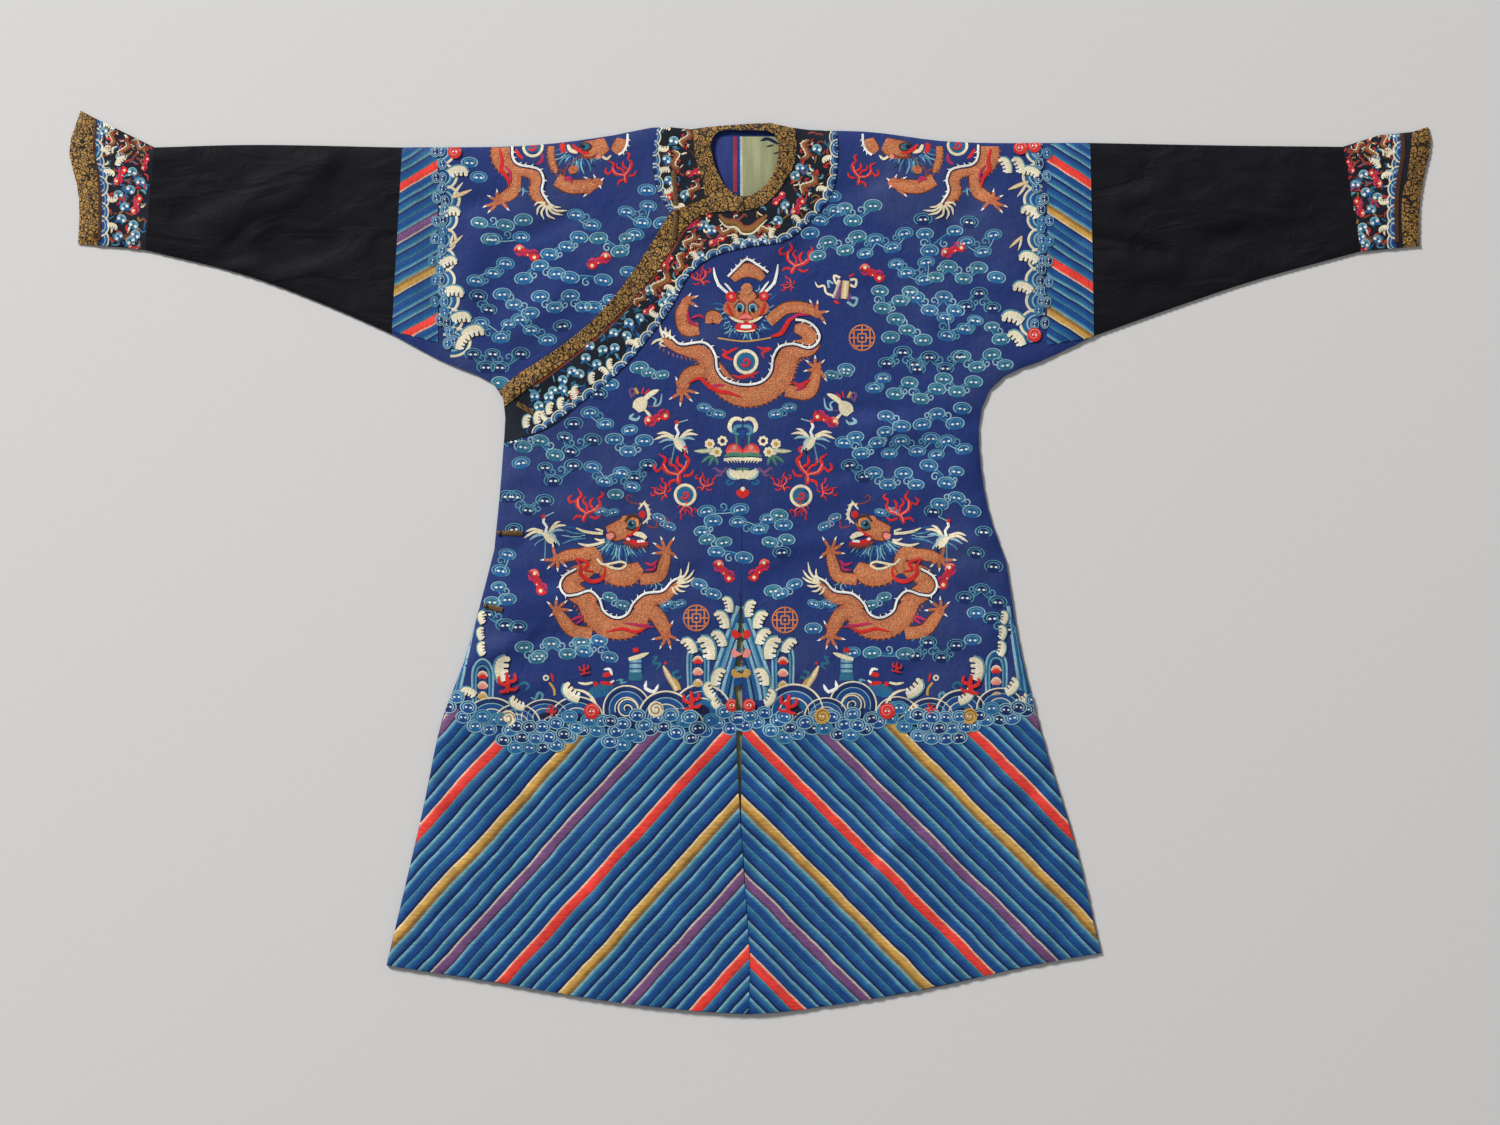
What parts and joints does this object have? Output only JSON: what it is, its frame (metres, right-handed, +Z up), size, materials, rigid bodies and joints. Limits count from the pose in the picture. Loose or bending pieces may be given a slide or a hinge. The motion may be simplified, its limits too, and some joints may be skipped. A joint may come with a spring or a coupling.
{
  "type": "dragon robe",
  "caption": "Long-sleeved embroidered silk court robe laid flat, with a curved overlapping front, flared cuffs and a striped wave hem.",
  "frame": {"origin": "middle of the robe's bounding box, on the surface that it lies on", "axes": "+X along the outspread sleeves to the wearer's left, +Y from the hem to the neck, +Z up from the surface out of the front of the robe"},
  "size_m": [2.1096, 1.4, 0.0179],
  "materials": {
    "robe_silk": "satin",
    "sleeve_silk": "matte",
    "embroidered_black": "satin",
    "gold_brocade": "satin",
    "lining_green": "matte",
    "lining_blue": "satin"
  },
  "bodies": {
    "root": {"back_left": "robe_silk", "back_right": "robe_silk", "front_left": "robe_silk", "front_left_lap": "robe_silk", "front_right": "robe_silk", "sleeve_left": "sleeve_silk", "sleeve_right": "sleeve_silk", "cuff_left": "embroidered_black", "cuff_right": "embroidered_black", "facing_front": "embroidered_black", "facing_shoulder": "embroidered_black", "cuff_band_left": "gold_brocade", "cuff_band_right": "gold_brocade", "lapel_band": "gold_brocade", "neck_band_left": "gold_brocade", "neck_band_right": "gold_brocade", "strap_collar_lower": "gold_brocade", "strap_collar_upper": "gold_brocade", "strap_side_lower": "gold_brocade", "strap_side_upper": "gold_brocade", "strap_underarm": "gold_brocade", "knot_collar": "gold_brocade", "knot_neck": "gold_brocade", "knot_side_lower": "gold_brocade", "knot_side_upper": "gold_brocade", "knot_underarm": "gold_brocade", "lining_neck_left": "lining_green", "lining_slit": "lining_green", "lining_neck_right": "lining_blue"}
  },
  "joints": []
}
